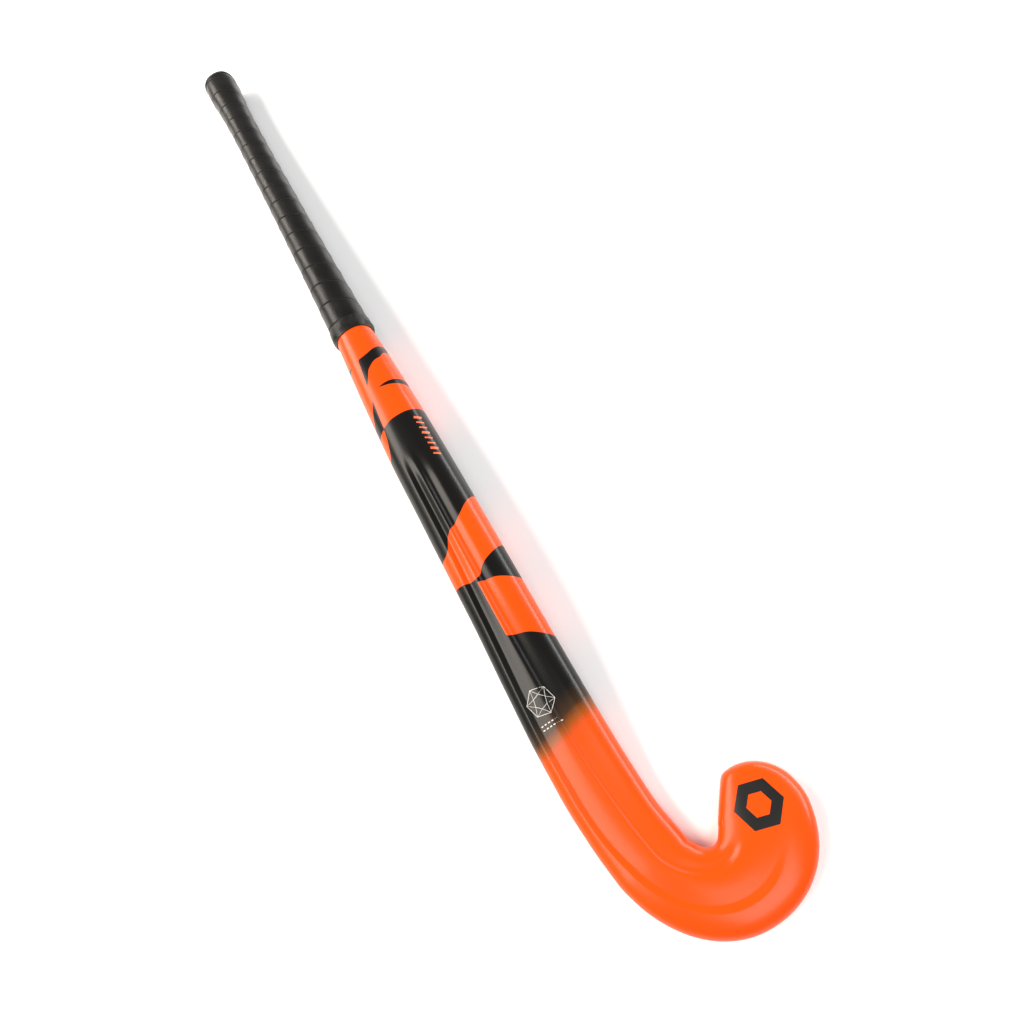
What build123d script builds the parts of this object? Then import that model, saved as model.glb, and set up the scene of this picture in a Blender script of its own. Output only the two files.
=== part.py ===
from build123d import *
import math
import os

# Field hockey stick lying playing face down, as an assembly of named sub-parts.
# Millimetres.  +X runs from the butt to the head, +Y to the side the toe turns up,
# +Z up.  The flat of the head rests on Z = 0 and the origin is under the middle of
# the whole stick.  A station is a distance along a spine line that runs straight
# down the shaft, half a circle round the hook and back along the toe.  Offsets
# across the stick are measured from that line, positive to the inside of the hook.

LENGTH = 927.0            # butt to base of the head, the 36.5 inch size
HOOK_RADIUS = 43.0        # spine radius round the hook
HOOK_X = 866.7            # station where the spine starts to turn
HALF_TURN = math.pi * HOOK_RADIUS
TOE_X = HOOK_X + HALF_TURN              # station where the spine runs straight again
MIDDLE_X = LENGTH / 2
MIDDLE_Y = 40.07

BULB_RADIUS = 29.35       # round end of the toe
BULB_BACK = 7.0           # its centre, before the toe station
BULB_OFFSET = 10.5        # its centre, across the spine
NECK_OFFSET = 34.6        # inner edge of the toe, which runs straight out to the round end
NECK_SLOPE = 0.755
NECK_BLEND = 3.0
TIP_LENGTH = 8.0          # the toe thins out over its last stretch
TIP = BULB_RADIUS - BULB_BACK - 1.0     # last section, measured from the toe station
CLOSED = TIP - 5.5                      # the shells are solid beyond this section

BOW_SLOPE = 0.175         # rise of the face from the head end of the bow
BUTT_SLOPE = 0.0310       # fall of the straight handle back to the butt
BOW_START = 45.0          # distances from the base of the head
BOW_STEEPEST = 140.0
BOW_END = 330.0
DOME_POWER = 2.3          # roundness of the back

WALL = 2.6                # laminate of the two outer shells
TUBE_WALL = 1.0           # laminate of each of the two inner tubes
TUBE_GAP = 0.3            # resin between tubes and shells
GLUE = 0.05               # half of every other bonded gap
PLY = 0.6                 # thickness of the two impact plies
FACE_PLY_MARGIN = 7.0     # face ply stops this far inside the core
EDGE_PLY_INSET = 4.3      # reverse edge ply, in from the heel edge
EDGE_PLY_HEIGHT = 5.0
CORE_START = 795.0        # foam core fills the head from here
TUBE_END = 792.0          # the inner tubes stop here
CAP = 4.0                 # rubber disc over the butt
PLUG_END = CAP + 60.0     # foam plug in the end of the handle
UNDERLAY = 0.4            # double sided tape under the grip
GRIP = 1.8                # wound chamois strip, with its overlaps
GRIP_END = 415.0
TAPE_START = 408.0         # finishing tape, half on the grip and half on the shaft
TAPE_END = 421.0
TAPE = 0.7

# Each list holds (station, value) knots of one smooth curve.
HANDLE_EDGE = [(0, 14.2), (12, 14.6), (60, 12.3), (107, 11.6), (240, 12.4), (403, 15.0), (437, 17.0)]
HEEL_EDGE = HANDLE_EDGE + [(500, 19.9), (560, 21.4), (600, 21.3), (680, 21.6), (740, 23.6), (785, 25.0),
                           (812, 24.9), (840, 22.9), (HOOK_X, 18.9), (HOOK_X + 12, 16.1),
                           (HOOK_X + 29, 14.8), (HOOK_X + 67, 17.2), (HOOK_X + 108, 20.8),
                           (TOE_X - 9, 20.2), (TOE_X, 18.0), (TOE_X + 9, 14.3)]
TOE_EDGE = HANDLE_EDGE + [(500, 19.8), (600, 22.0), (740, 23.0), (785, 23.4), (836, 25.6), (HOOK_X, 31.2),
                          (HOOK_X + 17, 33.0), (HOOK_X + 66, 33.5), (HOOK_X + 107, 35.5),
                          (TOE_X - 8, 34.9), (TOE_X, 34.14), (TOE_X + 8, 33.0)]
THICKNESS = [(0, 27.6), (12, 28.4), (60, 25.5), (107, 24.8), (240, 26.0), (403, 28.3), (437, 29.0),
             (500, 28.0), (620, 24.2), (700, 22.5), (800, 21.2), (HOOK_X + 118, 19.6), (TOE_X, 18.8)]
FLARE = [(0, 1.2), (12, 1.6), (60, 0.35), (107, 0.0)]
WIDEST = [(0, 13.8), (107, 12.4), (403, 13.6), (437, 13.0), (520, 10.5), (620, 9.2), (800, 8.6)]
CORNER = [(403, 30.0), (470, 14.0), (560, 9.5), (700, 7.5)]
FIRST_WALL = [(437, -7.0), (560, -9.9), (620, -10.0), (700, -12.5), (785, -16.3), (822, -15.4),
              (848, -12.0), (HOOK_X, -6.0), (HOOK_X + 15, -0.9), (HOOK_X + 43, 1.0), (HOOK_X + 100, -0.5)]
CREST = [(437, -2.0), (560, -3.2), (785, -2.0), (822, 1.0), (HOOK_X, 8.5), (HOOK_X + 10, 12.1),
         (HOOK_X + 40, 17.1), (HOOK_X + 90, 20.5)]
LAST_CREST = [(437, 6.5), (640, 7.8), (700, 10.0), (785, 14.5), (822, 18.0), (HOOK_X, 23.0),
              (HOOK_X + 47, 28.0), (HOOK_X + 90, 28.5)]
CHANNEL_DEPTH = [(550, 0.0), (585, 2.0), (700, 2.0), (800, 1.8), (HOOK_X + 75, 1.6), (HOOK_X + 105, 0.0)]
GROOVED = [(403, 0.0), (530, 1.0), (HOOK_X + 105, 1.0), (TOE_X, 0.0)]

STATIONS = [8, 14, 21, 30, 41, 54, 69, 87]
STATIONS += [107 + 20 * k for k in range(38)]
STATIONS += [HOOK_X + HALF_TURN * k / 23 for k in range(24)]
STATIONS += [TOE_X + 5.5, TOE_X + 10.5]


def smooth(station, knots):
    """Value at a station on a curve through the knots that never overshoots them."""
    if station <= knots[0][0]:
        return knots[0][1]
    if station >= knots[-1][0]:
        return knots[-1][1]
    i = max(k for k in range(len(knots) - 1) if knots[k][0] <= station)

    def slope(k):
        return (knots[k + 1][1] - knots[k][1]) / (knots[k + 1][0] - knots[k][0])

    def tangent(k):
        if k == 0 or k == len(knots) - 1 or slope(k - 1) * slope(k) <= 0:
            return 0.0
        return 2 * slope(k - 1) * slope(k) / (slope(k - 1) + slope(k))

    span = knots[i + 1][0] - knots[i][0]
    rise = knots[i + 1][1] - knots[i][1]
    t = (station - knots[i][0]) / span
    return (knots[i][1] + rise * t * t * (3 - 2 * t)
            + span * tangent(i) * t * (1 - t) ** 2
            - span * tangent(i + 1) * t * t * (1 - t))


def ramp(distance, start, end):
    """Height gained by a slope that grows smoothly from 0 to 1 between start and end."""
    t = min(max((distance - start) / (end - start), 0.0), 1.0)
    return (end - start) * (t ** 3 - t ** 4 / 2) + max(distance - end, 0.0)


def bow(station):
    """Height of the playing face above the ground."""
    distance = LENGTH - station
    rise = BOW_SLOPE * ramp(distance, BOW_START, BOW_STEEPEST)
    return rise - (BOW_SLOPE + BUTT_SLOPE) * ramp(distance, BOW_STEEPEST, BOW_END)


def edges(station):
    """Offsets of the heel edge and the toe edge."""
    past = station - TOE_X
    if past <= 0:
        return -smooth(station, HEEL_EDGE), smooth(station, TOE_EDGE)
    chord = math.sqrt(BULB_RADIUS ** 2 - (past + BULB_BACK) ** 2)
    neck, bulb = NECK_OFFSET - NECK_SLOPE * past, BULB_OFFSET + chord
    return BULB_OFFSET - chord, (neck + bulb - math.hypot(neck - bulb, NECK_BLEND)) / 2


def extents(station, inset=0.0, heel_inset=None, floor=None):
    """Heel, toe, bottom, widest and top of a section moved inwards by the inset."""
    heel, toe = edges(station)
    widest = smooth(station, WIDEST)
    past = max(station - TOE_X - (BULB_RADIUS - BULB_BACK - TIP_LENGTH), 0.0)
    thin = (1 - (past / TIP_LENGTH) ** 2.2) ** (1 / 2.2)
    bottom = widest - (widest + smooth(station, FLARE)) * thin
    top = widest + (smooth(station, THICKNESS) - widest) * thin
    heel += inset if heel_inset is None else heel_inset
    bottom += inset if floor is None else floor
    lift = bow(station)
    return heel, toe - inset, lift + bottom, lift + widest, lift + top - inset


def dome(u):
    return max(1 - abs(u) ** DOME_POWER, 0.0) ** (1 / DOME_POWER)


def place(station, offset, height):
    """Point in space for a station, an offset across the stick and a height."""
    turn = min(max((station - HOOK_X) / HOOK_RADIUS, 0.0), math.pi)
    past = max(station - TOE_X, 0.0)
    radius = HOOK_RADIUS - offset
    x = min(station, HOOK_X) + radius * math.sin(turn) - past
    y = HOOK_RADIUS - radius * math.cos(turn)
    return Vector(x - MIDDLE_X, y - MIDDLE_Y, height)


def line(start, end):
    return Edge.make_line(start, end)


def channel_marks(station):
    """Offsets of the points that shape the two channels, each with its share of their depth."""
    wall, crest, last = (smooth(station, knots) for knots in (FIRST_WALL, CREST, LAST_CREST))
    near = min(2.2, (crest - wall) / 3)
    step = min(4.0, (last - crest) / 2.2)
    return [(wall - near, 0.0), (wall, 0.5), (wall + near, 1.0), ((wall + near + crest) / 2, 0.45),
            (crest, 0.0), (crest + step / 2, 0.55), (crest + step, 1.0), ((crest + step + last) / 2, 0.5),
            (last, 0.0)]


def back_curve(station, lift=0.0, **limits):
    """Edge over the rounded back and through both channels, upright at the widest line."""
    heel, toe, bottom, widest, top = extents(station, **limits)
    middle, half = (heel + toe) / 2, (toe - heel) / 2
    marks = channel_marks(station)
    first, last = marks[0][0], marks[-1][0]
    across = [(heel + f * (first - heel), 0.0) for f in (0.04, 0.18, 0.5)] + marks
    across += [(toe - f * (toe - last), 0.0) for f in (0.5, 0.18, 0.04)]
    grooved = smooth(station, GROOVED)
    depth = smooth(station, CHANNEL_DEPTH)
    points = [(heel, widest + lift)]
    for k, (mark, share) in enumerate(across):
        plain = middle - half * math.cos(math.pi * (k + 1) / (len(across) + 1))
        v = grooved * mark + (1 - grooved) * plain
        points.append((v, widest + (top - widest) * dome((v - middle) / half) - depth * share))
    points.append((toe, widest + lift))
    return [Edge.make_spline([place(station, *p) for p in points], tangents=[Vector(0, 0, 1), Vector(0, 0, -1)])]


def corner_points(start, end, widest, bottom):
    """Quarter of an ellipse from the widest line at one offset down to the bottom at another."""
    angles = [math.pi / 2 * k / 4 for k in range(5)]
    return [(start + (end - start) * (1 - math.cos(a)), widest - (widest - bottom) * math.sin(a)) for a in angles]


def corner_curve(station, *corner):
    """Edge round one corner of the playing side."""
    inward = place(station, 1, 0) - place(station, 0, 0)
    sideways = inward if corner[1] > corner[0] else -inward
    spots = [place(station, *p) for p in corner_points(*corner)]
    return Edge.make_spline(spots, tangents=[Vector(0, 0, -1), sideways])


def face_curve(station, lift=0.0, **limits):
    """Edges under the playing side: a rounded corner, the flat and the other rounded corner."""
    heel, toe, bottom, widest, top = extents(station, **limits)
    width = min(smooth(station, CORNER), 0.97 * (toe - heel) / 2)
    first = corner_curve(station, heel, heel + width, widest + lift, bottom)
    last = corner_curve(station, toe, toe - width, widest + lift, bottom)
    return [first, line(first @ 1, last @ 1), last]


def whole(station, **limits):
    """Closed section: back and face together."""
    return Face(Wire(back_curve(station, **limits) + face_curve(station, **limits)))


def half(station, side, lift):
    """Half section closed by the straight parting line."""
    arch = side(station, lift)
    start = place(station, edges(station)[0], extents(station)[3] + lift)
    end = place(station, edges(station)[1], extents(station)[3] + lift)
    return Face(Wire(arch + [line(end, start)]))


def channel(station, side, lift):
    """Half section of a shell: outer curve, inner curve and the two glued rims."""
    heel, toe = edges(station)
    height = extents(station)[3] + lift
    rims = [line(place(station, heel, height), place(station, heel + WALL, height)),
            line(place(station, toe - WALL, height), place(station, toe, height))]
    return Face(Wire(side(station, lift) + side(station, lift, inset=WALL) + rims))


def skin(sections):
    """Solid whose sides run straight from each section to the next."""
    return loft(sections, ruled=True)


def stations(start, end):
    """Section stations between two limits, both limits included."""
    return [start] + [s for s in STATIONS if start + 2.5 < s < end - 2.5] + [end]


def shell(side, lift):
    """One moulded laminate: hollow along the stick and solid at the end of the toe."""
    closed, tip = TOE_X + CLOSED, TOE_X + TIP
    hollow = skin([channel(s, side, lift) for s in stations(CAP, closed)])
    end = [closed + (tip - closed) * k / 4 for k in range(5)]
    return hollow + skin([half(s, side, lift) for s in end])


def body(start, end, **limits):
    return skin([whole(s, **limits) for s in stations(start, end)])


def sleeve(start, end, inner, outer):
    """Tube round the stick between two distances outside its surface."""
    return body(start, end, inset=-outer) - body(start - 1, end + 1, inset=-inner)


def tube_section(station, side, shrink):
    """D shaped section of one inner tube, with its flat side on the web in the middle."""
    channels = smooth(station, CHANNEL_DEPTH)
    heel, toe, bottom, widest, top = extents(station, inset=WALL + TUBE_GAP + shrink)
    top -= channels
    edge, web = (heel, -GLUE - shrink) if side < 0 else (toe, GLUE + shrink)
    middle, radius = (heel + toe) / 2, (toe - heel) / 2
    points = [(web, widest + (top - widest) * dome((web - middle) / radius))]
    for k in range(1, 8):
        v = web + (edge - web) * math.sin(math.pi / 2 * k / 8)
        points.append((v, widest + (top - widest) * dome((v - middle) / radius)))
    points.append((edge, widest))
    across = place(station, edge, 0) - place(station, web, 0)
    over = Edge.make_spline([place(station, *p) for p in points], tangents=[across, Vector(0, 0, -1)])
    width = min(smooth(station, CORNER), 0.9 * abs(edge - web))
    corner = corner_curve(station, edge, edge - math.copysign(width, edge - web), widest, bottom)
    foot = place(station, web, bottom)
    return Face(Wire([over, corner, line(corner @ 1, foot), line(foot, over @ 0)]))


def tube(side):
    """One of the two inner tubes; side is -1 for the heel side and 1 for the toe side."""
    start = PLUG_END + 2
    outer = skin([tube_section(s, side, 0.0) for s in stations(start, TUBE_END)])
    inner = skin([tube_section(s, side, TUBE_WALL) for s in stations(start - 1, TUBE_END + 1)])
    return outer - inner


def strip(start, end, limits):
    """Flat ply with a four sided section at every station."""
    sections = []
    for station in stations(start, end):
        left, right, low, high = limits(station)
        corners = [place(station, *c) for c in ((left, low), (right, low), (right, high), (left, high))]
        sections.append(Face(Wire([line(corners[k], corners[(k + 1) % 4]) for k in range(4)])))
    return skin(sections)


def face_ply_limits(station):
    heel, toe, bottom, widest, top = extents(station, inset=WALL + 2 * GLUE)
    return heel + FACE_PLY_MARGIN, toe - FACE_PLY_MARGIN, bottom, bottom + PLY


def edge_ply_limits(station):
    heel, toe, bottom, widest, top = extents(station, heel_inset=EDGE_PLY_INSET)
    return heel, heel + PLY, widest - EDGE_PLY_HEIGHT / 2, widest + EDGE_PLY_HEIGHT / 2


def head_core():
    """Foam that fills the head between the two impact plies and the shells."""
    return body(CORE_START, TOE_X + CLOSED - GLUE, inset=WALL + 2 * GLUE,
                heel_inset=EDGE_PLY_INSET + PLY + 2 * GLUE, floor=WALL + PLY + 4 * GLUE)


def butt_cap():
    """Rubber disc over the end of the handle with its outer edge rounded."""
    radius = CAP - 1.0
    rings = [(radius * (1 - math.cos(a)), radius * (1 - math.sin(a))) for a in (0.0, 0.3, 0.6, 0.9, 1.2, 1.57)]
    rings.append((CAP - GLUE, 0.0))
    return skin([whole(s, inset=cut - UNDERLAY - GRIP) for s, cut in rings])


def finishing_tape():
    """Tape round the end of the grip and the bare shaft just past it."""
    under = UNDERLAY + GRIP + 3 * GLUE
    outside = body(TAPE_START, TAPE_END, inset=-under - TAPE)
    over_grip = body(TAPE_START - 1, GRIP_END + GLUE, inset=-under)
    over_shaft = body(GRIP_END - 1, TAPE_END + 1, inset=-GLUE)
    return outside - over_grip - over_shaft


def save(name, shape):
    solids = shape.solids()
    assert len(solids) == 1, f"{name} has {len(solids)} solids"
    solid = solids[0]
    solid.label = name
    export_step(solid, f"parts/{name}.step")
    box = solid.bounding_box()
    print(f"{name:24s} {solid.volume / 1000:9.2f} cm3  x {box.min.X:8.2f} {box.max.X:8.2f}"
          f"  y {box.min.Y:7.2f} {box.max.Y:7.2f}  z {box.min.Z:7.2f} {box.max.Z:7.2f}")


os.makedirs("parts", exist_ok=True)

save("back_shell", shell(back_curve, GLUE))
save("face_shell", shell(face_curve, -GLUE))
save("inner_tube_heel_side", tube(-1))
save("inner_tube_toe_side", tube(1))
save("head_core", head_core())
save("face_impact_ply", strip(CORE_START + 5, TOE_X, face_ply_limits))
save("edge_impact_ply", strip(CORE_START + 5, HOOK_X + 120, edge_ply_limits))
save("handle_plug", body(CAP, PLUG_END, inset=WALL + 2 * GLUE))
save("butt_cap", butt_cap())
save("grip_underlay", sleeve(CAP, GRIP_END, GLUE, UNDERLAY - GLUE))
save("grip_wrap", sleeve(CAP, GRIP_END, UNDERLAY, UNDERLAY + GRIP))
save("finishing_tape", finishing_tape())
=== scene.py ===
import math

import bmesh
import bpy
import numpy as np
from mathutils import Matrix, Vector


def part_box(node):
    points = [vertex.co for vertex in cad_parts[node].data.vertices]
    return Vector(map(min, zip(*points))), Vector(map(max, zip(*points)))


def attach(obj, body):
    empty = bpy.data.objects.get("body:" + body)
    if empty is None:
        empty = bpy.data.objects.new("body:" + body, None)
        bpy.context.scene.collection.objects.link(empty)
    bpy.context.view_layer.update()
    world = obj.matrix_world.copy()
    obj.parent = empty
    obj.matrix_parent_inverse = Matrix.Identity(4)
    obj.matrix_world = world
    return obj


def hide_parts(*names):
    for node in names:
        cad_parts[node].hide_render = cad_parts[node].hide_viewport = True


# Looks of a field hockey stick lying playing face down.  Lengths are millimetres
# until place() turns them into the metres of the frame.  A station is a distance
# along a spine that runs down the shaft, half a circle round the hook and back
# along the toe; offsets across the stick are positive to the inside of the hook.

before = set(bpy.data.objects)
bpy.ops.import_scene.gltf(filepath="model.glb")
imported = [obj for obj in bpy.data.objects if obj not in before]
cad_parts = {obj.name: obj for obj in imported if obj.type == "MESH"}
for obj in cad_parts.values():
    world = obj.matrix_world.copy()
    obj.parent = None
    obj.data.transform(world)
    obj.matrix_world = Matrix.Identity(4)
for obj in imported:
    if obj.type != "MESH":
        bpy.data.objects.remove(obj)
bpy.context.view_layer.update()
MM = 0.001

# ---------------------------------------------------------------- driving sizes

LENGTH = (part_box("back_shell")[1].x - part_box("butt_cap")[0].x) / MM
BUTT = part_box("butt_cap")[0].x / MM
GRIP_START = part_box("grip_wrap")[0].x / MM - BUTT
GRIP_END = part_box("grip_wrap")[1].x / MM - BUTT
TAPE_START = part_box("finishing_tape")[0].x / MM - BUTT
TAPE_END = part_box("finishing_tape")[1].x / MM - BUTT

HOOK_RADIUS = 43.0        # spine radius round the hook
HOOK_X = 866.7            # station where the spine starts to turn
TOE_X = HOOK_X + math.pi * HOOK_RADIUS
SPINE_Y = (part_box("butt_cap")[0].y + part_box("butt_cap")[1].y) / 2 / MM
BULB_RADIUS = 29.35       # round end of the toe
BULB_BACK = 7.0
BULB_OFFSET = 10.5
NECK_OFFSET = 34.6
NECK_SLOPE = 0.755
NECK_BLEND = 3.0
TIP = BULB_RADIUS - BULB_BACK
TIP_LENGTH = 8.0
HOLLOW_END = 15.0         # the shells are solid past here, measured from the toe station

BOW_SLOPE = 0.175         # rise of the face from the head end of the bow
BUTT_SLOPE = 0.0310       # fall of the handle back to the butt
BOW_START = 45.0
BOW_STEEPEST = 140.0
BOW_END = 330.0
DOME_POWER = 2.3          # roundness of the back
SKIN = 2.0                # thickness of the lacquered skins

GRIP = 2.0                # grip surface above the bare handle
GRIP_FLOOR = 0.45         # underside of the grip
PITCH = 24.9              # one turn of the grip strip
FIRST_SEAM = 36.0         # station of a seam where it crosses the back
LAP = 0.50                # raised edge of every turn
GRIP_TOP = GRIP + 0.25 * LAP  # grip surface at its two ends
CAP_LIP = 0.9             # the rubber cap runs this far over the grip
COLUMNS = 96              # points round the handle

INK_TOP = 0.045           # printed marks stand this far above the lacquer
INK_ROOT = -0.05          # and reach this far into it
TOE_MARK = (869.6, 77.5)
TOE_MARK_RADII = (7.5, 15.0)

# Each list holds (station, value) knots of one smooth curve.
HANDLE_EDGE = [(0, 14.2), (12, 14.6), (60, 12.3), (107, 11.6), (240, 12.4), (403, 15.0), (437, 17.0)]
HEEL_EDGE = HANDLE_EDGE + [(500, 19.9), (560, 21.4), (600, 21.3), (680, 21.6), (740, 23.6), (785, 25.0),
                           (812, 24.9), (840, 22.9), (HOOK_X, 18.9), (HOOK_X + 12, 16.1),
                           (HOOK_X + 29, 14.8), (HOOK_X + 67, 17.2), (HOOK_X + 108, 20.8),
                           (TOE_X - 9, 20.2), (TOE_X, 18.0), (TOE_X + 9, 14.3)]
TOE_EDGE = HANDLE_EDGE + [(500, 19.8), (600, 22.0), (740, 23.0), (785, 23.4), (836, 25.6), (HOOK_X, 31.2),
                          (HOOK_X + 17, 33.0), (HOOK_X + 66, 33.5), (HOOK_X + 107, 35.5),
                          (TOE_X - 8, 34.9), (TOE_X, 34.14), (TOE_X + 8, 33.0)]
THICKNESS = [(0, 27.6), (12, 28.4), (60, 25.5), (107, 24.8), (240, 26.0), (403, 28.3), (437, 29.0),
             (500, 28.0), (620, 24.2), (700, 22.5), (800, 21.2), (HOOK_X + 118, 19.6), (TOE_X, 18.8)]
FLARE = [(0, 1.2), (12, 1.6), (60, 0.35), (107, 0.0)]
WIDEST = [(0, 13.8), (107, 12.4), (403, 13.6), (437, 13.0), (520, 10.5), (620, 9.2), (800, 8.6)]
CORNER = [(403, 30.0), (470, 14.0), (560, 9.5), (700, 7.5)]
FIRST_WALL = [(437, -7.0), (560, -9.9), (620, -10.0), (700, -12.5), (785, -16.3), (822, -15.4),
              (848, -12.0), (HOOK_X, -6.0), (HOOK_X + 15, -0.9), (HOOK_X + 43, 1.0), (HOOK_X + 100, -0.5)]
CREST = [(437, -2.0), (560, -3.2), (785, -2.0), (822, 1.0), (HOOK_X, 8.5), (HOOK_X + 10, 12.1),
         (HOOK_X + 40, 17.1), (HOOK_X + 90, 20.5)]
LAST_CREST = [(437, 6.5), (640, 7.8), (700, 10.0), (785, 14.5), (822, 18.0), (HOOK_X, 23.0),
              (HOOK_X + 47, 28.0), (HOOK_X + 90, 28.5)]
CHANNEL_DEPTH = [(550, 0.0), (585, 2.0), (700, 2.0), (800, 1.8), (HOOK_X + 75, 1.6), (HOOK_X + 105, 0.0)]

# Colours, linear.
ORANGE = (0.78, 0.064, 0.0)
BLACK = (0.0026, 0.0023, 0.0018)


# ---------------------------------------------------------------- camera and stage

def add_camera():
    """Close wide view down the stick from above the hook."""
    at = Vector((0.3988, SPINE_Y * MM + 0.0456, 0.5089))
    aim = Vector((0.1621, SPINE_Y * MM + 0.0394, 0.020))
    upwards = Vector((-0.7771, 0.5102, 0.3696))
    back = (at - aim).normalized()
    right = upwards.cross(back).normalized()
    camera = bpy.data.objects.new("camera", bpy.data.cameras.new("camera"))
    camera.data.lens = 26.37
    camera.data.sensor_width = 36.0
    camera.data.clip_start = 0.01
    turned = Matrix((right, back.cross(right), back)).transposed().to_4x4()
    camera.matrix_world = Matrix.Translation(at) @ turned
    bpy.context.scene.collection.objects.link(camera)
    bpy.context.scene.camera = camera


def add_light(name, at, aim, size, power, colour=(1, 1, 1)):
    """Soft rectangular light."""
    data = bpy.data.lights.new(name, "AREA")
    data.shape = "RECTANGLE"
    data.size, data.size_y = size
    data.energy = power
    data.color = colour
    lamp = bpy.data.objects.new(name, data)
    lamp.location = at
    lamp.rotation_euler = (Vector(aim) - Vector(at)).to_track_quat("-Z", "Y").to_euler()
    bpy.context.scene.collection.objects.link(lamp)


def add_stage():
    """Pale floor under a studio with one big soft light and a weaker one opposite."""
    mesh = bpy.data.meshes.new("floor")
    side = 4.0
    corners = [(-side, -side, 0), (side, -side, 0), (side, side, 0), (-side, side, 0)]
    mesh.from_pydata(corners, [], [(0, 1, 2, 3)])
    floor = bpy.data.objects.new("floor", mesh)
    floor.location.z = -0.0002
    bpy.context.scene.collection.objects.link(floor)
    paint = Paint("floor", roughness=0.9)
    grain = paint.noise(3.0, 2.0)
    paint.colour(paint.ramp(grain, [(0.3, (0.93, 0.93, 0.93)), (0.7, (0.95, 0.95, 0.95))]))
    mesh.materials.append(paint.material)
    world = bpy.data.worlds.new("studio")
    world.use_nodes = True
    world.node_tree.nodes["Background"].inputs["Color"].default_value = (1, 1, 1, 1)
    world.node_tree.nodes["Background"].inputs["Strength"].default_value = 0.34
    bpy.context.scene.world = world
    bpy.context.scene.view_settings.view_transform = "Standard"
    add_light("softbox", (-1.2, -1.1, 1.15), (-1.2, 0, 0), (3.8, 0.8), 84, (1.0, 0.92, 0.83))
    add_light("rim", (-0.2, 1.5, 0.5), (-0.2, 0, 0), (2.2, 0.3), 30)
    add_light("fill", (1.7, 0.3, 2.2), (0.0, 0, 0), (1.4, 1.4), 30)


# ---------------------------------------------------------------- procedural paint

class Paint:
    """One node material that is built up step by step."""

    def __init__(self, name, roughness=0.5, **constants):
        self.material = bpy.data.materials.new(name)
        self.material.use_nodes = True
        self.nodes = self.material.node_tree.nodes
        self.links = self.material.node_tree.links
        self.shader = self.nodes["Principled BSDF"]
        self.shader.inputs["Roughness"].default_value = roughness
        for socket, value in constants.items():
            self.shader.inputs[socket.replace("_", " ")].default_value = value
        self.place = self.nodes.new("ShaderNodeTexCoord").outputs["Object"]

    def stretched(self, scale):
        mapping = self.nodes.new("ShaderNodeMapping")
        mapping.inputs["Scale"].default_value = scale
        self.links.new(self.place, mapping.inputs["Vector"])
        return mapping.outputs["Vector"]

    def noise(self, scale, detail=2.0, stretch=(1, 1, 1)):
        node = self.nodes.new("ShaderNodeTexNoise")
        node.inputs["Scale"].default_value = scale
        node.inputs["Detail"].default_value = detail
        self.links.new(self.stretched(stretch), node.inputs["Vector"])
        return node.outputs["Fac"]

    def cells(self, scale, stretch=(1, 1, 1)):
        node = self.nodes.new("ShaderNodeTexVoronoi")
        node.inputs["Scale"].default_value = scale
        self.links.new(self.stretched(stretch), node.inputs["Vector"])
        return node.outputs["Distance"]

    def weave(self, scale):
        node = self.nodes.new("ShaderNodeTexChecker")
        node.inputs["Scale"].default_value = scale
        self.links.new(self.place, node.inputs["Vector"])
        return node.outputs["Fac"]

    def attribute(self, name):
        node = self.nodes.new("ShaderNodeAttribute")
        node.attribute_name = name
        return node.outputs["Fac"]

    def math(self, operation, first, second):
        node = self.nodes.new("ShaderNodeMath")
        node.operation = operation
        for socket, value in zip(node.inputs, (first, second)):
            if isinstance(value, (int, float)):
                socket.default_value = value
            else:
                self.links.new(value, socket)
        return node.outputs["Value"]

    def spread(self, value, low, high, to_low=0.0, to_high=1.0):
        node = self.nodes.new("ShaderNodeMapRange")
        self.links.new(value, node.inputs["Value"])
        for name, number in (("From Min", low), ("From Max", high), ("To Min", to_low), ("To Max", to_high)):
            node.inputs[name].default_value = number
        return node.outputs["Result"]

    def ramp(self, value, stops):
        node = self.nodes.new("ShaderNodeValToRGB")
        while len(node.color_ramp.elements) < len(stops):
            node.color_ramp.elements.new(0.5)
        for element, (position, colour) in zip(node.color_ramp.elements, stops):
            element.position = position
            element.color = (*colour, 1)
        self.links.new(value, node.inputs["Fac"])
        return node.outputs["Color"]

    def mix(self, share, first, second):
        node = self.nodes.new("ShaderNodeMix")
        node.data_type = "RGBA"
        self.links.new(share, node.inputs[0])
        self.links.new(first, node.inputs[6])
        self.links.new(second, node.inputs[7])
        return node.outputs[2]

    def colour(self, value):
        self.links.new(value, self.shader.inputs["Base Color"])

    def roughness(self, value):
        self.links.new(value, self.shader.inputs["Roughness"])

    def bump(self, height, distance, strength=1.0):
        node = self.nodes.new("ShaderNodeBump")
        node.inputs["Distance"].default_value = distance
        node.inputs["Strength"].default_value = strength
        self.links.new(height, node.inputs["Height"])
        self.links.new(node.outputs["Normal"], self.shader.inputs["Normal"])


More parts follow.
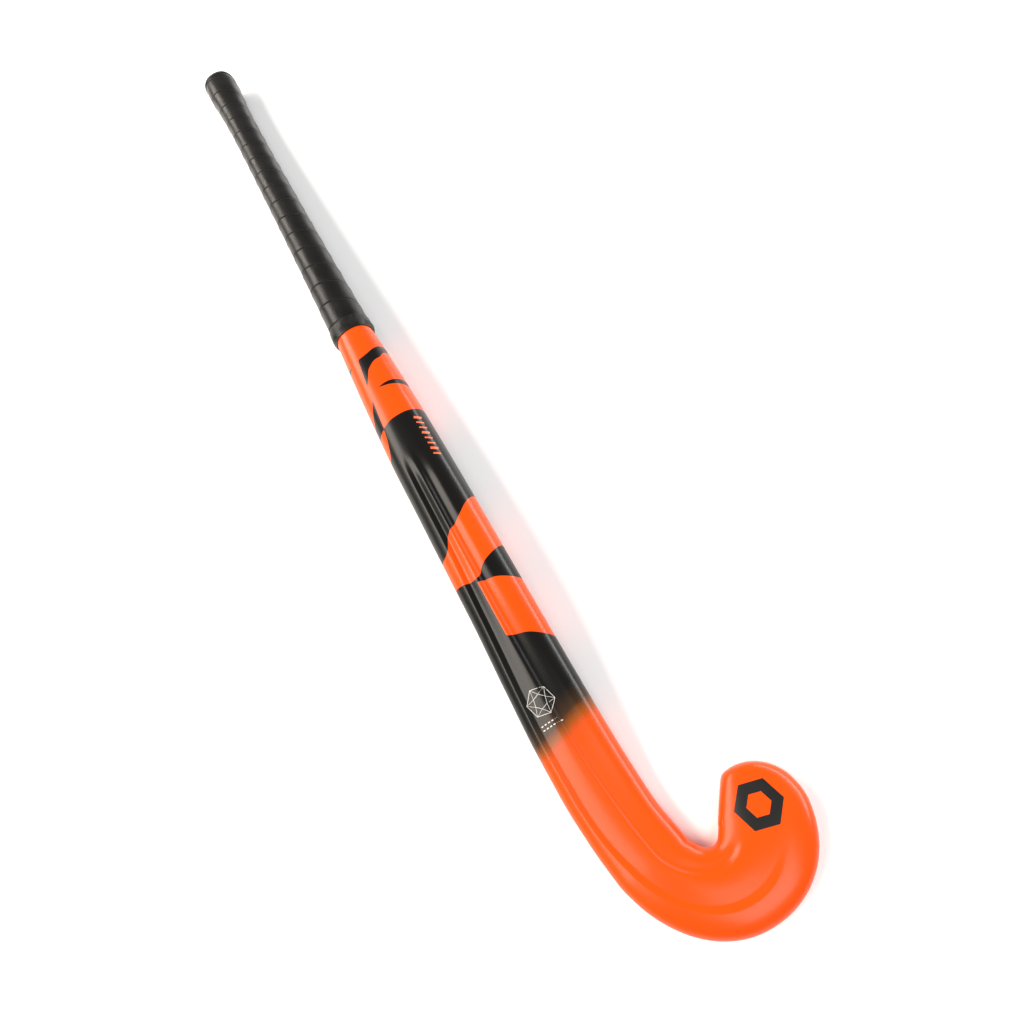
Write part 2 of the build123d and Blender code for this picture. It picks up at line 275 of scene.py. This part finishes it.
def lacquer():
    """Satin lacquer over orange and black fields, with a sprayed fade into the head."""
    paint = Paint("lacquer", Coat_Weight=0.06, Coat_Roughness=0.15, Specular_IOR_Level=0.24)
    clouds = paint.noise(9.0, 3.0)
    orange = paint.ramp(clouds, [(0.3, (ORANGE[0] * 0.97, ORANGE[1] * 0.93, 0.0)), (0.7, ORANGE)])
    black = paint.ramp(clouds, [(0.3, BLACK), (0.7, tuple(1.25 * c for c in BLACK))])
    speck = paint.spread(paint.noise(1400.0, 1.0), 0.3, 0.7, -0.03, 0.03)
    share = paint.math("ADD", paint.attribute("spray"), speck)
    fade = paint.ramp(share, [(0.06, BLACK), (0.4, (0.035, 0.015, 0.004)), (0.62, (0.24, 0.055, 0.003)),
                              (0.95, ORANGE)])
    head = paint.spread(paint.attribute("spray"), 0.0, 0.04)
    ground = paint.mix(paint.spread(paint.attribute("ink"), -0.12, 0.12), orange, black)
    paint.colour(paint.mix(head, ground, fade))
    paint.roughness(paint.spread(clouds, 0.3, 0.7, 0.25, 0.31))
    paint.bump(paint.noise(420.0, 2.0), 0.00004, 0.25)
    return paint.material


def plain_ink(name, colour):
    """Screen printed mark on the lacquer."""
    paint = Paint(name, roughness=0.36)
    grain = paint.noise(900.0, 2.0)
    paint.colour(paint.ramp(grain, [(0.3, tuple(0.85 * c for c in colour)), (0.7, colour)]))
    return paint.material


def chamois():
    """Black polyurethane grip, a little tacky, with fine pores and painted shade along its seams."""
    paint = Paint("chamois", Sheen_Weight=0.02, Sheen_Roughness=0.4, Specular_IOR_Level=0.22)
    clouds = paint.noise(60.0, 3.0)
    pores = paint.cells(900.0)
    open_face = paint.ramp(clouds, [(0.3, (0.0030, 0.0026, 0.0021)), (0.7, (0.0056, 0.0049, 0.0040))])
    # painted shade: near-black colour laid along every seam of the wound strip, wherever the seam attribute
    # is high
    shade = paint.ramp(clouds, [(0.3, (0.0003, 0.0003, 0.0002)), (0.7, (0.0006, 0.0006, 0.0005))])
    paint.colour(paint.mix(paint.spread(paint.attribute("seam"), 0.15, 0.5), open_face, shade))
    dull = paint.spread(paint.attribute("seam"), 0.15, 0.5, 0.0, 0.6)
    paint.roughness(paint.math("ADD", paint.spread(clouds, 0.3, 0.7, 0.28, 0.38), dull))
    creases = paint.noise(110.0, 4.0, (0.35, 1, 1))
    paint.bump(paint.math("ADD", paint.spread(pores, 0.0, 0.5, 0.0, 0.25), creases), 0.0005, 0.35)
    return paint.material


def rubber():
    """Moulded end cap with a faint matt grain."""
    paint = Paint("rubber")
    grain = paint.noise(700.0, 3.0)
    paint.colour(paint.ramp(grain, [(0.3, (0.020, 0.019, 0.017)), (0.7, (0.030, 0.028, 0.025))]))
    paint.roughness(paint.spread(grain, 0.3, 0.7, 0.5, 0.62))
    paint.bump(grain, 0.0001, 0.3)
    return paint.material


def vinyl():
    """Stretched finishing tape with fine lengthwise streaks."""
    paint = Paint("vinyl", Specular_IOR_Level=0.25)
    streaks = paint.noise(60.0, 4.0, (0.5, 6, 6))
    paint.colour(paint.ramp(streaks, [(0.35, (0.004, 0.0038, 0.0034)), (0.7, (0.009, 0.0085, 0.0075))]))
    paint.roughness(paint.spread(streaks, 0.3, 0.7, 0.33, 0.5))
    paint.bump(streaks, 0.0002, 0.3)
    return paint.material


def carbon():
    """Woven laminate of the inner tubes."""
    paint = Paint("carbon")
    paint.colour(paint.ramp(paint.weave(500.0), [(0.0, (0.010, 0.010, 0.011)), (1.0, (0.032, 0.032, 0.034))]))
    paint.roughness(paint.spread(paint.noise(300.0), 0.3, 0.7, 0.25, 0.4))
    return paint.material


def foam():
    """Rigid core foam with small cells."""
    paint = Paint("foam")
    bubbles = paint.cells(1100.0)
    paint.colour(paint.ramp(bubbles, [(0.1, (0.45, 0.37, 0.22)), (0.6, (0.66, 0.58, 0.40))]))
    paint.roughness(paint.spread(bubbles, 0.0, 0.6, 0.95, 0.8))
    paint.bump(bubbles, 0.0003, 0.5)
    return paint.material


def aramid():
    """Yellow woven impact ply."""
    paint = Paint("aramid")
    paint.colour(paint.ramp(paint.weave(700.0), [(0.0, (0.50, 0.34, 0.05)), (1.0, (0.72, 0.52, 0.10))]))
    paint.roughness(paint.spread(paint.noise(400.0), 0.3, 0.7, 0.5, 0.7))
    return paint.material


def cloth_tape():
    """White double sided tape under the grip."""
    paint = Paint("cloth_tape")
    threads = paint.weave(1500.0)
    paint.colour(paint.ramp(threads, [(0.0, (0.60, 0.58, 0.52)), (1.0, (0.72, 0.70, 0.64))]))
    paint.roughness(paint.spread(paint.noise(200.0), 0.3, 0.7, 0.75, 0.9))
    return paint.material


# ---------------------------------------------------------------- shape of the stick

def smooth(stations, knots):
    """Values on a curve through the knots that never overshoots them."""
    x, y = np.array(knots, float).T
    slope = np.diff(y) / np.diff(x)
    pair, total = slope[:-1] * slope[1:], slope[:-1] + slope[1:]
    inner = np.where(pair > 0, 2 * pair / np.where(pair > 0, total, 1), 0.0)
    tangent = np.concatenate([[0.0], inner, [0.0]])
    s = np.clip(stations, x[0], x[-1])
    i = np.clip(np.searchsorted(x, s, side="right") - 1, 0, len(x) - 2)
    span = x[i + 1] - x[i]
    t = (s - x[i]) / span
    return (y[i] + (y[i + 1] - y[i]) * t * t * (3 - 2 * t)
            + span * tangent[i] * t * (1 - t) ** 2 - span * tangent[i + 1] * t * t * (1 - t))


def softened(knots, reach=7.0):
    """The same curve with its knots blurred, so that gloss runs over them unbroken."""
    fine = np.arange(-60.0, TOE_X + 60.0)
    offsets = np.arange(-3 * reach, 3 * reach + 1)
    weights = np.exp(-(offsets / reach) ** 2 / 2)
    values = np.convolve(smooth(fine, knots), weights / weights.sum(), "same")
    return lambda stations: np.interp(stations, fine[30:-30], values[30:-30])


heel_edge, toe_edge = softened(HEEL_EDGE, 2.0), softened(TOE_EDGE, 2.0)
thickness, flare, widest_height = softened(THICKNESS), softened(FLARE), softened(WIDEST)
corner, first_wall, crest, last_crest = (softened(k) for k in (CORNER, FIRST_WALL, CREST, LAST_CREST))
channel_depth = softened(CHANNEL_DEPTH, 4.0)


def ramp(distance, start, end):
    """Height gained by a slope that grows smoothly from 0 to 1 between start and end."""
    t = np.clip((distance - start) / (end - start), 0.0, 1.0)
    return (end - start) * (t ** 3 - t ** 4 / 2) + np.maximum(distance - end, 0.0)


def bow(stations):
    """Height of the playing face above the ground."""
    distance = LENGTH - stations
    rise = BOW_SLOPE * ramp(distance, BOW_START, BOW_STEEPEST)
    return rise - (BOW_SLOPE + BUTT_SLOPE) * ramp(distance, BOW_STEEPEST, BOW_END)


def edges(stations):
    """Offsets of the heel edge and the toe edge."""
    past = np.maximum(stations - TOE_X, 0.0)
    chord = np.sqrt(np.maximum(BULB_RADIUS ** 2 - (past + BULB_BACK) ** 2, 0.0))
    neck, bulb = NECK_OFFSET - NECK_SLOPE * past, BULB_OFFSET + chord
    rounded = (neck + bulb - np.hypot(neck - bulb, NECK_BLEND)) / 2
    straight = stations <= TOE_X
    return (np.where(straight, -heel_edge(stations), BULB_OFFSET - chord),
            np.where(straight, toe_edge(stations), np.maximum(rounded, BULB_OFFSET - chord)))


def extents(stations, grow=0.0):
    """Heel, toe, bottom, widest and top of the sections, moved outwards by grow."""
    heel, toe = edges(stations)
    past = np.maximum(stations - TOE_X - (TIP - TIP_LENGTH), 0.0)
    thin = np.maximum(1 - (past / TIP_LENGTH) ** 2.2, 0.0) ** (1 / 2.2)
    widest = widest_height(stations)
    bottom = widest - (widest + flare(stations)) * thin
    top = widest + (thickness(stations) - widest) * thin
    lift = bow(stations)
    grow_across = np.maximum(grow, -0.5 * (toe - heel) / 2)
    return heel - grow_across, toe + grow_across, lift + bottom - grow, lift + widest, lift + top + grow


def place(stations, offsets, heights):
    """Points in the frame, in metres, for stations, offsets across and heights."""
    turn = np.clip((stations - HOOK_X) / HOOK_RADIUS, 0.0, math.pi)
    radius = HOOK_RADIUS - offsets
    x = np.minimum(stations, HOOK_X) + radius * np.sin(turn) - np.maximum(stations - TOE_X, 0.0)
    y = HOOK_RADIUS - radius * np.cos(turn)
    return np.stack(np.broadcast_arrays(x + BUTT, y + SPINE_Y, heights), -1) * MM


def eased(t):
    t = np.clip(t, 0.0, 1.0)
    return t * t * (3 - 2 * t)


def channel(offsets, start, floor, end):
    """Share of the channel depth: a steep wall from start to floor, then a long rise to end."""
    up = np.clip((offsets - floor) / (end - floor), 0.0, 1.0)
    return eased((offsets - start) / (floor - start)) * (1 - (up + eased(up)) / 2)


def back_height(stations, offsets, grow=0.0):
    """Height of the rounded back with its two channels."""
    heel, toe, _, widest, top = extents(stations, grow)
    u = np.clip(np.abs((offsets - (heel + toe) / 2) / np.maximum((toe - heel) / 2, 1e-6)), 0.0, 1.0)
    round_back = widest + np.maximum(top - widest, 0.0) * (1 - u ** DOME_POWER) ** (1 / DOME_POWER)
    wall, middle, last = first_wall(stations), crest(stations), last_crest(stations)
    near = np.minimum(2.2, (middle - wall) / 3)
    step = np.minimum(4.0, (last - middle) / 2.2)
    share = (channel(offsets, wall - near, wall + near, middle)
             + channel(offsets, middle, middle + step, last))
    return round_back - channel_depth(stations) * share


def face_height(stations, offsets, grow=0.0):
    """Height of the flat playing side with its two rounded corners."""
    heel, toe, bottom, widest, _ = extents(stations, grow)
    width = np.maximum(np.minimum(corner(stations), 0.97 * (toe - heel) / 2), 1e-6)
    edge = np.clip(np.minimum(offsets - heel, toe - offsets) / width, 0.0, 1.0)
    return widest - np.maximum(widest - bottom, 0.0) * np.sqrt(1 - (1 - edge) ** 2)


def arch(stations, across, side, grow=0.0):
    """Offsets and heights of one side; across runs from -1 at the heel to 1 at the toe."""
    heel, toe = extents(stations, grow)[:2]
    offsets = (heel + toe) / 2 + (toe - heel) / 2 * across
    return offsets, side(stations, offsets, grow)


def ring(stations, turns, grow):
    """Points right round the stick; turns runs from 0 at the heel over the back to 1."""
    across = -np.cos(2 * math.pi * turns)
    back = arch(stations, across, back_height, grow)
    face = arch(stations, across, face_height, grow)
    over = turns % 1 < 0.5
    return place(stations, np.where(over, back[0], face[0]), np.where(over, back[1], face[1]))


# ---------------------------------------------------------------- mesh building

def add_piece(name, points, faces, material, slot, *nodes, layers=None):
    """Smooth shaded closed piece that rides on the stick and stands for CAD nodes."""
    mesh = bpy.data.meshes.new(name)
    mesh.from_pydata(np.asarray(points).reshape(-1, 3).tolist(), [], faces)
    for layer, values in (layers or {}).items():
        mesh.attributes.new(layer, "FLOAT", "POINT").data.foreach_set("value", values.astype(np.float32))
    mesh.validate()
    piece = bpy.data.objects.new(name, mesh)
    bpy.context.scene.collection.objects.link(piece)
    shape = bmesh.new()
    shape.from_mesh(mesh)
    bmesh.ops.remove_doubles(shape, verts=shape.verts, dist=2e-7)
    bmesh.ops.dissolve_degenerate(shape, edges=shape.edges, dist=2e-7)
    bmesh.ops.recalc_face_normals(shape, faces=shape.faces)
    for face in shape.faces:
        face.smooth = True
    for edge in shape.edges:
        edge.smooth = edge.calc_face_angle(0.0) < math.radians(50)
    shape.to_mesh(mesh)
    shape.free()
    mesh.materials.append(material)
    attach(piece, "root")
    if nodes:
        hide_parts(*nodes)
    return piece


def joined(rings, close_ends=True):
    """Faces between neighbouring rings of equal size, with flat ends."""
    count, size = rings
    faces = []
    for i in range(count - 1):
        for j in range(size):
            k = (j + 1) % size
            faces.append((i * size + j, i * size + k, (i + 1) * size + k, (i + 1) * size + j))
    if close_ends:
        faces.append(tuple(range(size))[::-1])
        faces.append(tuple((count - 1) * size + j for j in range(size)))
    return faces


def skin_stations():
    """Sparse under the grip, dense where the lacquer shows, and finest round the toe."""
    start = math.asin(BULB_BACK / BULB_RADIUS)
    angles = start + (math.pi / 2 - start) * np.sin(np.linspace(0, math.pi / 2, 42))
    return np.concatenate([np.arange(GRIP_START, GRIP_END - 10, 12.0), np.arange(GRIP_END - 8, HOOK_X, 1.5),
                           np.linspace(HOOK_X, TOE_X, 92)[:-1],
                           TOE_X + BULB_RADIUS * np.sin(angles[:-1]) - BULB_BACK])


def add_skin(name, side, columns, material, slot, node):
    """One lacquered half of the stick: outer surface, inner surface and rims."""
    stations = skin_stations()[:, None]
    coarse = 4
    across = -np.cos(np.linspace(0, math.pi, columns + 1))
    outer = arch(stations, across, side)
    inner = arch(stations, across[::-coarse], side, -SKIN)
    widest = extents(stations)[3]
    left = np.clip((TOE_X + HOLLOW_END - stations) / 8, 0.0, 1.0)
    hollow = np.sqrt(1 - (1 - left) ** 2)
    inner_height = widest + hollow * (inner[1] - widest)
    gap = 0.01 if side is back_height else -0.01
    points = np.concatenate([place(stations, outer[0], outer[1] + gap),
                             place(stations, inner[0], inner_height + gap)], 1)
    count, size = points.shape[:2]
    faces = joined((count, size), close_ends=False)
    for k in range(columns // coarse):
        outside = list(range(k * coarse, (k + 1) * coarse + 1))
        faces.append((size - 1 - k, *outside, size - 2 - k))
    pole = place(TOE_X + TIP, BULB_OFFSET, extents(np.array(TOE_X + TIP))[3] + gap)
    last = (count - 1) * size
    for j in range(size):
        faces.append((last + j, last + (j + 1) % size, count * size))
    skin = add_piece(name, np.concatenate([points.reshape(-1, 3), pole[None]]), faces, material, slot, node)
    paint_fields(skin)
    return skin


# ---------------------------------------------------------------- painted fields

def curved(points, steps=6):
    """Smooth line through a few points."""
    p = np.array([points[0], *points, points[-1]], float)
    t = np.linspace(0, 1, steps, endpoint=False)[:, None]
    spans = []
    for a, b, c, d in zip(p, p[1:], p[2:], p[3:]):
        spans.append(b + t * (c - a) / 2 + t ** 2 * (a - 2.5 * b + 2 * c - d / 2)
                     + t ** 3 * (-a + 3 * b - 3 * c + d) / 2)
    return [tuple(q) for q in np.concatenate([*spans, p[-1:]])]


def inside(where, outline):
    """Signed distance from a closed outline, positive inside."""
    corners = np.array(outline, float)
    nearest = np.full(len(where), np.inf)
    within = np.zeros(len(where), bool)
    for a, b in zip(corners, np.roll(corners, -1, 0)):
        edge = b - a
        share = np.clip((where - a) @ edge / max(edge @ edge, 1e-9), 0, 1)
        nearest = np.minimum(nearest, np.hypot(*(where - a - share[:, None] * edge).T))
        if a[1] != b[1]:
            crossing = a[0] + (where[:, 1] - a[1]) * edge[0] / edge[1]
            within ^= ((a[1] > where[:, 1]) != (b[1] > where[:, 1])) & (where[:, 0] < crossing)
    return np.where(within, nearest, -nearest)


FRONT = [(523, -12.4), (520.5, -5), (519.7, 3.3), (519.5, 11.6), (519.5, 30)]
BLACK_FIELDS = [
    curved(FRONT) + [(900, 30), (900, -30), (560, -30)]
    + curved([(550, -22), (544, -17.3), (533.5, -14), (523, -12.4)]),
    curved([(446.4, 30), (446.9, 16.5), (452.6, 3.6), (454.0, -4.9)], 8) + [(482.7, -8.4)]
    + curved([(468.0, -1.0), (462.6, 5.6), (459.8, 11.8), (454.8, 16.5), (452, 30)], 8),
    [(455.5, -12.0), (451.6, -17), (451, -24), (459.5, -24)],
    curved([(488.5, -2.4), (486.4, 7), (486.5, 18), (488, 30)])
    + curved([(496, 30), (492.4, 18), (489.6, 7), (488.5, -2.4)]),
    [(493.5, -9.3), (523, -12.0), (525.8, -19), (527, -30), (514, -30), (515, -19)],
]
ORANGE_FIELDS = [
    curved([(643.2, -26), (639.3, -13.2), (628.9, -7.4), (622.7, 1.7), (618.2, 8.2), (610.6, 16.5),
            (604, 27)])
    + curved([(649, 27), (657.2, 9.9), (661.0, 3.6), (667.0, -4.0), (662.4, -26)]),
    curved([(669.6, -4.0), (672.2, 8.2), (676.7, 18.1), (682, 27)])
    + curved([(727, 27), (719.6, 16.8), (714.6, 7.9), (711.0, -4.0)]),
]
FADE_MIDDLE = 775.0
FADE_REACH = 21.0


def paint_fields(skin):
    """Stores how deep every point lies in a black field and how far into the sprayed fade."""
    mesh = skin.data
    spots = np.zeros(len(mesh.vertices) * 3)
    mesh.vertices.foreach_get("co", spots)
    x, y, z = spots.reshape(-1, 3).T / MM
    x, y = x - BUTT, y - SPINE_Y
    where = np.stack([x, np.where(x < HOOK_X, y, 0)], 1)
    black = np.max([inside(where, outline) for outline in BLACK_FIELDS], 0)
    orange = np.max([inside(where, outline) for outline in ORANGE_FIELDS], 0)
    ink = np.minimum(black, -orange)
    waver = 0.8 * np.sin(y / 9.0)
    spray = eased((x - FADE_MIDDLE + 0.25 * y + waver + FADE_REACH) / (2 * FADE_REACH))
    for name, values in (("ink", ink), ("spray", spray)):
        layer = mesh.attributes.new(name, "FLOAT", "POINT")
        layer.data.foreach_set("value", values.astype(np.float32))


# ---------------------------------------------------------------- printed marks

def spine(x, y):
    """Station and offset of a place on the ground plan, measured from the butt and the spine."""
    turn = np.arctan2(x - HOOK_X, HOOK_RADIUS - y)
    radius = np.hypot(x - HOOK_X, HOOK_RADIUS - y)
    bend = x > HOOK_X
    beyond = (x <= HOOK_X) & (y > HOOK_RADIUS)
    stations = np.where(bend, HOOK_X + turn * HOOK_RADIUS, np.where(beyond, TOE_X + HOOK_X - x, x))
    offsets = np.where(bend, HOOK_RADIUS - radius, np.where(beyond, 2 * HOOK_RADIUS - y, y))
    return stations, offsets


def on_back(x, y, rise):
    """Point that far above the back, in metres."""
    stations, offsets = spine(x, y)
    return place(stations, offsets, back_height(stations, offsets) + rise)


def stroke(start, end, width):
    """Points and faces of a thin printed bar that follows the back."""
    a, b = np.array(start, float), np.array(end, float)
    side = np.array([a[1] - b[1], b[0] - a[0]]) / np.hypot(*(b - a)) * width / 2
    steps = max(2, int(np.hypot(*(b - a)) / 1.2) + 1)
    rings = []
    for t in np.linspace(0, 1, steps):
        middle = a + (b - a) * t
        flanks = (middle - side, middle + side)
        rings.append([on_back(*flanks[0], INK_ROOT), on_back(*flanks[1], INK_ROOT),
                      on_back(*flanks[1], INK_TOP), on_back(*flanks[0], INK_TOP)])
    return np.array(rings).reshape(-1, 3), joined((steps, 4))


def add_strokes(name, strokes, material):
    """One printed mark made of several bars."""
    points, faces = [], []
    for start, end, width in strokes:
        shift = sum(len(p) for p in points)
        bar_points, bar_faces = stroke(start, end, width)
        points.append(bar_points)
        faces += [tuple(k + shift for k in face) for face in bar_faces]
    return add_piece(name, np.concatenate(points), faces, material, "lacquered_back")


def polygon(centre, radius, sides, start=0.0):
    angles = [start + 2 * math.pi * k / sides for k in range(sides)]
    return [(centre[0] + radius * math.cos(a), centre[1] + radius * math.sin(a)) for a in angles]


def chain(points, width):
    """Closed line of bars through the points."""
    return [(a, b, width) for a, b in zip(points, points[1:] + points[:1])]


def add_marks():
    """Generic marks: dashes by the fade, a faceted rosette and a hexagon on the toe."""
    dashes = [((527.5 + 5.2 * k, 12.0), (529.5 + 5.2 * k, 16.6), 1.3 if k % 3 else 2.2) for k in range(8)]
    add_strokes("orange_dashes", dashes, plain_ink("orange_ink", (0.85, 0.12, 0.02)))
    centre = (757.0, -5.5)
    outer = polygon(centre, 9.5, 6, 0.3)
    inner = polygon(centre, 4.6, 6, 0.82)
    facets = chain(outer, 0.32) + chain(inner, 0.26)
    facets += [(p, q, 0.22) for p, q in zip(outer, inner)]
    facets += [(p, q, 0.22) for p, q in zip(outer[1:] + outer[:1], inner)]
    rows = [((770.5 + 2.6 * row, -13 + 2.6 * k), (770.5 + 2.6 * row, -11.6 + 2.6 * k), 0.7)
            for row in range(2) for k in range(5 + row)]
    add_strokes("silver_rosette", facets + rows, plain_ink("silver_ink", (0.62, 0.60, 0.56)))
    add_toe_mark(plain_ink("black_ink", BLACK))


def add_toe_mark(material):
    """Flat hexagonal band printed on the toe."""
    per_side, across = 10, 8
    radii = np.linspace(*TOE_MARK_RADII, across)
    corners = np.array(polygon(TOE_MARK, 1.0, 6, 0.3)) - TOE_MARK
    rings = []
    for a, b in zip(corners, np.roll(corners, -1, 0)):
        for t in np.arange(per_side) / per_side:
            way = a + (b - a) * t
            x, y = np.array(TOE_MARK)[:, None] + way[:, None] * radii
            above, below = on_back(x, y, INK_TOP), on_back(x[::-1], y[::-1], INK_ROOT)
            rings.append(np.concatenate([above, below]))
    rings.append(rings[0])
    points = np.array(rings)
    add_piece("toe_mark", points, joined(points.shape[:2], close_ends=False), material, "lacquered_back")


# ---------------------------------------------------------------- grip, tape and cap

def wound_surface(stations, lane):
    """Height of the wound strip and the share of painted shade along its seams; lane runs 0 to 1 across a
    turn.
    """
    lip = np.exp(-lane / 0.16) * np.sqrt(1 - (1 - np.clip(lane / 0.04, 0, 1)) ** 2)
    tuck = np.exp(-(1 - lane) / 0.055)
    nearness = np.minimum(stations - GRIP_START, GRIP_END - stations)
    lap = LAP * np.clip(nearness / 14, 0.25, 1)
    rise = GRIP + lap * lip - 0.55 * tuck - 0.30 * np.exp(-lane / 0.006)
    # The second value paints shade near both ends of the lane, where one turn meets the next; the dip around
    # lane 0.06 goes below zero and the map ranges in chamois() clamp it away.
    return rise, tuck + np.exp(-lane / 0.008) - np.exp(-((lane - 0.06) / 0.05) ** 2)


def add_grip():
    """Chamois strip wound in a helix, each turn lapping over the one before."""
    origin = FIRST_SEAM - PITCH / 4
    lanes = np.array([0, 0.006, 0.02, 0.04, 0.07, 0.11, 0.18, 0.3,
                      0.45, 0.6, 0.75, 0.84, 0.9, 0.94, 0.975, 1.0])
    first = math.floor((GRIP_START - origin) / PITCH) - 2
    last = math.ceil((GRIP_END - origin) / PITCH) + 1
    winds = np.arange(first * COLUMNS, last * COLUMNS + 1)[:, None] / COLUMNS
    wanted = origin + PITCH * (winds + lanes)
    stations = np.clip(wanted, GRIP_START, GRIP_END)
    lane = np.where(stations == wanted, lanes, ((stations - origin) / PITCH - winds) % 1)
    rise, seam = wound_surface(stations, lane)
    surface = ring(stations, winds + 0 * lane, rise)
    rows, size = surface.shape[:2]
    faces = [(i * size + j, (i + 1) * size + j, (i + 1) * size + j + 1, i * size + j + 1)
             for i in range(rows - 1) for j in range(size - 1)]
    for i in range(rows - COLUMNS - 1):
        top, low = (i + 1) * size - 1, (i + COLUMNS) * size
        faces.append((top, top + size, low + size, low))
    whole = np.arange(COLUMNS) / COLUMNS
    start_rise, end_rise = (wound_surface(s, ((s - origin) / PITCH - whole) % 1)[0]
                            for s in (GRIP_START, GRIP_END))
    lining = [ring(GRIP_START + 0 * whole, whole, start_rise)]
    lining += [ring(s + 0 * whole, whole, GRIP_FLOOR + 0 * whole)
               for s in np.linspace(GRIP_START, GRIP_END, 30)]
    lining = np.array(lining + [ring(GRIP_END + 0 * whole, whole, end_rise)])
    faces += [tuple(rows * size + k for k in face) for face in joined(lining.shape[:2], close_ends=False)]
    points = np.concatenate([surface.reshape(-1, 3), lining.reshape(-1, 3)])
    # painted shade along the seams of the strip; none on the lining
    seam_shade = np.concatenate([seam.ravel(), np.zeros(lining.size // 3)])
    add_piece("wound_grip", points, faces, chamois(), "grip_strip", "grip_wrap", layers={"seam": seam_shade})


def add_sleeve(name, profile, material, slot, *nodes, ripple=None):
    """Closed sleeve from (station, rise) points that run right round its wall."""
    whole = np.arange(COLUMNS) / COLUMNS
    rings = []
    for station, rise in profile:
        wave = ripple(station, rise, whole) if ripple else 0.0
        rings.append(ring(np.full(COLUMNS, float(station)), whole, rise + wave))
    rings.append(rings[0])
    points = np.array(rings)
    return add_piece(name, points, joined(points.shape[:2], close_ends=False), material, slot, *nodes)


def add_finishing_tape():
    """Vinyl band that holds the end of the grip and drops on to the shaft."""
    over = GRIP_TOP + 0.55
    outside = [(TAPE_START + 0.05, over - 0.25), (TAPE_START + 0.35, over)]
    outside += [(s, over) for s in np.arange(TAPE_START + 1, GRIP_END - 0.4, 0.5)]
    for t in np.linspace(0, 1, 14):
        outside.append((GRIP_END + 0.1 + (TAPE_END - 0.25 - GRIP_END) * t, over - (over - 0.8) * eased(t)))
    inside_wall = [(TAPE_END, 0.55), (TAPE_END, 0.12), (GRIP_END + 0.15, 0.12),
                   (GRIP_END + 0.15, GRIP_TOP + 0.10), (TAPE_START + 0.02, GRIP_TOP + 0.10)]

    def ripple(station, rise, turns):
        if rise < 0.7 or station <= TAPE_START + 0.05:
            return 0.0
        share = (station - TAPE_START) / (TAPE_END - TAPE_START)
        return 0.10 * np.sin(2 * math.pi * (9 * turns + 0.8 * share)) * math.sin(math.pi * share)

    add_sleeve("finishing_band", outside + inside_wall, vinyl(), "finishing_vinyl", "finishing_tape",
               ripple=ripple)


def add_cap():
    """Rubber end cap: a flat end, a rounded shoulder and a thin lip over the first turn of grip."""
    whole = np.arange(COLUMNS) / COLUMNS
    radius = 3.2
    rise = GRIP_TOP + 0.35
    shoulder = [(radius * (1 - math.cos(a)), rise - radius * (1 - math.sin(a)))
                for a in np.linspace(0, math.pi / 2, 9)]
    flat = ring(np.full(COLUMNS, 0.0), whole, np.full(COLUMNS, shoulder[0][1]))
    centre = flat.mean(0)
    rings = [centre + (flat - centre) * t for t in (0.02, 0.3, 0.6, 0.85, 0.95)]
    lip = GRIP_START + CAP_LIP
    tail = [(lip - 0.25, rise), (lip, rise - 0.25), (lip, GRIP_TOP + 0.05),
            (GRIP_START - 0.06, GRIP_TOP + 0.05), (GRIP_START - 0.06, -6.0)]
    rings += [ring(np.full(COLUMNS, s), whole, np.full(COLUMNS, g)) for s, g in shoulder + tail]
    points = np.array(rings)
    add_piece("end_cap", points, joined(points.shape[:2]), rubber(), "cap_rubber", "butt_cap")


# ---------------------------------------------------------------- scene

def dress_hidden_nodes():
    """Procedural finishes on the structural nodes inside the stick."""
    finishes = {"inner_tube_heel_side": carbon(), "head_core": foam(), "face_impact_ply": aramid(),
                "grip_underlay": cloth_tape()}
    finishes["inner_tube_toe_side"] = finishes["inner_tube_heel_side"]
    finishes["handle_plug"] = finishes["head_core"]
    finishes["edge_impact_ply"] = finishes["face_impact_ply"]
    for node, material in finishes.items():
        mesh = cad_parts[node].data
        mesh.materials.clear()
        mesh.materials.append(material)


add_camera()
add_stage()
gloss = lacquer()
add_skin("lacquered_back_skin", back_height, 96, gloss, "lacquered_back", "back_shell")
add_skin("lacquered_face_skin", face_height, 64, gloss, "lacquered_face", "face_shell")
add_marks()
add_grip()
add_finishing_tape()
add_cap()
dress_hidden_nodes()
